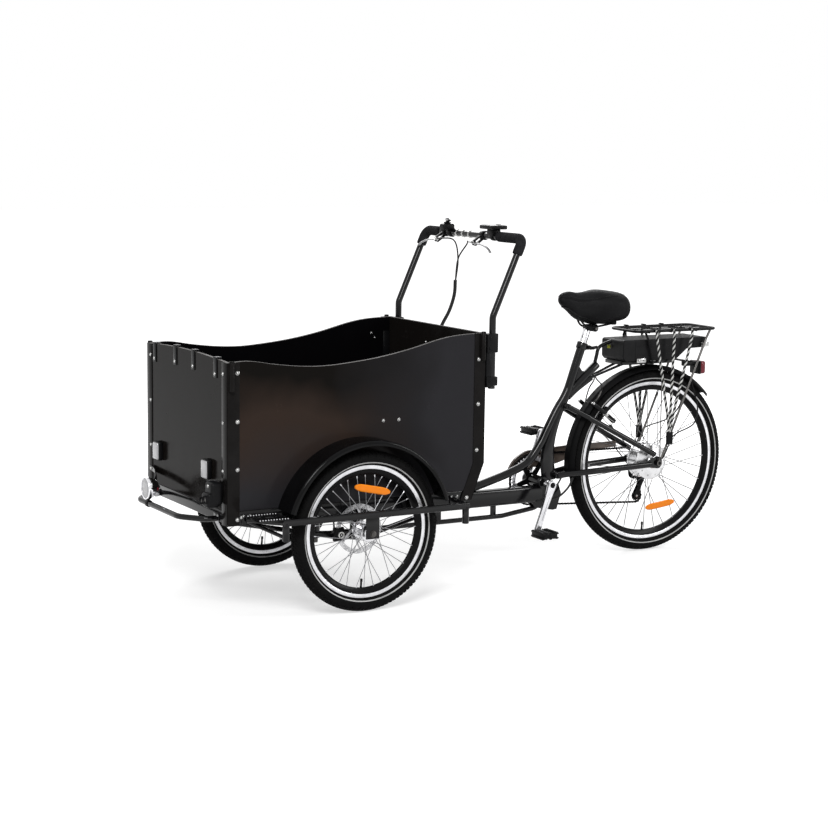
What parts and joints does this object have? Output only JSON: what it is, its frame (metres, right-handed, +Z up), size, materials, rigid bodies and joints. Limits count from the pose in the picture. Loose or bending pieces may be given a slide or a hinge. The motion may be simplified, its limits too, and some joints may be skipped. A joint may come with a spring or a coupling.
{
  "type": "electric cargo tricycle",
  "caption": "Cargo tricycle with a wooden box between two small front wheels, a U handlebar, saddle, rack battery and hub-motor rear wheel.",
  "frame": {"origin": "on the ground, at the middle of the whole length and width", "axes": "front of the tricycle towards -X, the rider's left towards -Y, +Z up"},
  "size_m": [2.236, 0.861, 1.2023],
  "materials": {
    "frame": "satin black powder coat",
    "panel": "gloss black film-faced plywood",
    "rubber": "matt black rubber",
    "foam": "matt black foam",
    "cover": "soft black cover",
    "moulded": "black moulding",
    "smoked": "smoked brown-black plastic",
    "webbing": "woven elastic cord",
    "alloy": "silver alloy",
    "steel": "grey steel",
    "chrome": "bright chrome",
    "lamp": "red lens",
    "guard": "gloss black plastic"
  },
  "bodies": {
    "frame": {"battery_dock": "frame", "chain": "steel", "chain_guard": "smoked", "chain_stays": "frame", "derailleur": "steel", "down_tube": "frame", "elastic_straps_left": "webbing", "elastic_straps_right": "webbing", "main_beam": "frame", "rear_fender": "guard", "rear_rack": "frame", "seat_clamp_bolt": "steel", "seat_stays": "frame", "seat_tube": "frame", "tail_lamp": "lamp"},
    "carriage": {"front_chassis": "frame", "outrigger_left": "frame", "outrigger_right": "frame", "bumper": "frame", "box_floor": "panel", "box_side_left": "panel", "box_side_right": "panel", "box_front": "panel", "box_rear": "panel", "corner_front_left": "frame", "corner_front_right": "frame", "corner_rear_left": "frame", "corner_rear_right": "frame", "handlebar": "frame", "grip_left": "foam", "grip_right": "foam", "display": "moulded", "cable_loom": "rubber", "headlamp": "chrome", "horn": "moulded", "fender_left": "guard", "fender_right": "guard", "caliper_left": "alloy", "caliper_right": "alloy"},
    "front_wheel_left": {"wheel_left": "alloy", "tyre_left": "rubber"},
    "front_wheel_right": {"wheel_right": "alloy", "tyre_right": "rubber"},
    "rear_wheel": {"rear_wheel": "alloy", "rear_tyre": "rubber"},
    "freewheel": {"sprockets": "steel"},
    "cranks": {"crankset": "alloy"},
    "left_pedal": {"pedal_left": "rubber"},
    "right_pedal": {"pedal_right": "rubber"},
    "seat": {"saddle": "cover", "seat_post": "alloy"},
    "seat_clamp": {"seat_clamp_lever": "alloy"},
    "left_brake_arm": {"brake_arm_left": "alloy"},
    "right_brake_arm": {"brake_arm_right": "alloy"},
    "battery_pack": {"battery": "moulded"},
    "battery_key": {"battery_lock": "chrome"},
    "left_brake_lever": {"brake_lever_left": "alloy"},
    "right_brake_lever": {"brake_lever_right": "alloy"},
    "gear_lever": {"shift_lever": "moulded"},
    "button": {"display_button": "rubber"}
  },
  "joints": [
    {"name": "steering", "type": "hinge", "parent": "frame", "child": "carriage", "pos_m": [-0.56199, 0, 0.286], "axis": [0, 0, 1], "range_deg": [-35, 35]},
    {"name": "wheel_left_spin", "type": "hinge", "parent": "carriage", "child": "front_wheel_left", "pos_m": [-0.56199, -0.362, 0.25471], "axis": [0, 1, 0], "continuous": true},
    {"name": "wheel_right_spin", "type": "hinge", "parent": "carriage", "child": "front_wheel_right", "pos_m": [-0.56199, 0.362, 0.25471], "axis": [0, 1, 0], "continuous": true},
    {"name": "rear_wheel_spin", "type": "hinge", "parent": "frame", "child": "rear_wheel", "pos_m": [0.78901, 0, 0.32898], "axis": [0, 1, 0], "continuous": true},
    {"name": "crank_spin", "type": "hinge", "parent": "frame", "child": "cranks", "pos_m": [0.32701, 0, 0.285], "axis": [0, 1, 0], "continuous": true},
    {"name": "sprocket_spin", "type": "hinge", "parent": "frame", "child": "freewheel", "pos_m": [0.78901, 0, 0.32898], "axis": [0, 1, 0], "continuous": true},
    {"name": "pedal_left_spin", "type": "hinge", "parent": "cranks", "child": "left_pedal", "pos_m": [0.26887, -0.126, 0.12525], "axis": [0, 1, 0], "continuous": true},
    {"name": "pedal_right_spin", "type": "hinge", "parent": "cranks", "child": "right_pedal", "pos_m": [0.38515, 0.126, 0.44475], "axis": [0, 1, 0], "continuous": true},
    {"name": "seat_post_slide", "type": "slide", "parent": "frame", "child": "seat", "axis": [0.3387, 0, 0.9409], "range_m": [-0.015, 0.09]},
    {"name": "seat_clamp_lever_turn", "type": "hinge", "parent": "frame", "child": "seat_clamp", "pos_m": [0.52101, -0.015, 0.75], "axis": [-0.3387, 0, -0.9409], "range_deg": [0, 120]},
    {"name": "brake_arm_left_turn", "type": "hinge", "parent": "frame", "child": "left_brake_arm", "pos_m": [0.59905, -0.043, 0.47566], "axis": [-0.6112, 0, -0.7915], "range_deg": [0, 2.4]},
    {"name": "brake_arm_right_turn", "type": "hinge", "parent": "frame", "child": "right_brake_arm", "pos_m": [0.59905, 0.043, 0.47566], "axis": [0.6112, 0, 0.7915], "range_deg": [0, 2.4]},
    {"name": "battery_slide", "type": "slide", "parent": "frame", "child": "battery_pack", "axis": [1, 0, 0], "range_m": [0, 0.25]},
    {"name": "battery_lock_turn", "type": "hinge", "parent": "battery_pack", "child": "battery_key", "pos_m": [0.62801, 0.012, 0.748], "axis": [1, 0, 0], "range_deg": [0, 90]},
    {"name": "brake_lever_left_turn", "type": "hinge", "parent": "carriage", "child": "left_brake_lever", "pos_m": [0.00001, -0.07, 1.128], "axis": [-0.4983, 0, 0.867], "range_deg": [0, 16], "stiffness_Nm_per_rad": 0.3, "springref_deg": -17.19},
    {"name": "brake_lever_right_turn", "type": "hinge", "parent": "carriage", "child": "right_brake_lever", "pos_m": [0.00001, 0.178, 1.128], "axis": [0.4983, 0, -0.867], "range_deg": [0, 16], "stiffness_Nm_per_rad": 0.3, "springref_deg": -17.19},
    {"name": "shift_lever_turn", "type": "hinge", "parent": "carriage", "child": "gear_lever", "pos_m": [0.02001, 0.14, 1.1843], "axis": [0, 0, 1], "range_deg": [0, 55]},
    {"name": "display_button_press", "type": "slide", "parent": "carriage", "child": "button", "axis": [0, 0, -1], "range_m": [0, 0.0012], "stiffness_N_per_m": 300, "springref_m": -0.002}
  ],
  "couplings": [
    {"joint": "sprocket_spin", "follows": "crank_spin", "ratio": 2.3333},
    {"joint": "brake_arm_left_turn", "follows": "brake_lever_right_turn", "ratio": 0.15},
    {"joint": "brake_arm_right_turn", "follows": "brake_lever_right_turn", "ratio": 0.15}
  ]
}
